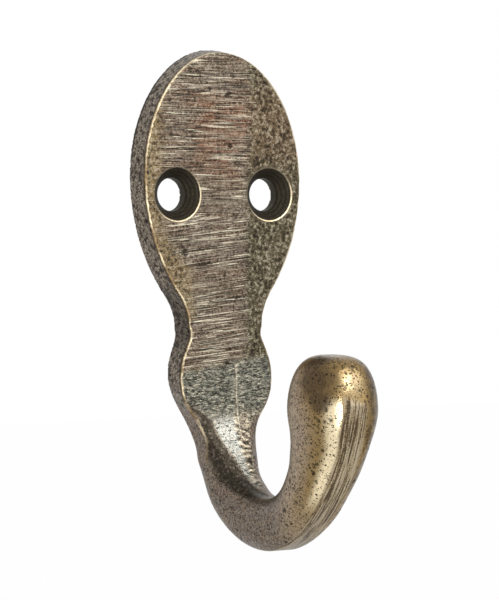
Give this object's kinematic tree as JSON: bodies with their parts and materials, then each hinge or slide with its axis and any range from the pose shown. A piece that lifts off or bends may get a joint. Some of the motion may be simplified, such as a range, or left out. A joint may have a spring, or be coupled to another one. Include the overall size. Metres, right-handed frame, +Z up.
{
  "type": "coat hook",
  "caption": "Small cast coat hook: waisted oval wall plate with countersunk screw holes, a tapering tongue and a round limb curling up to a blunt bulb.",
  "frame": {"origin": "midway between the axes of the two screw holes, on the back face that lies on the wall", "axes": "+Z up along the plate, +X across it, the hook comes out along -Y and the wall is on +Y"},
  "size_m": [0.029, 0.0381, 0.0753],
  "materials": {
    "bronze": "aged, coarse ground cast bronze"
  },
  "bodies": {
    "root": {"coat_hook": "bronze"}
  },
  "joints": []
}
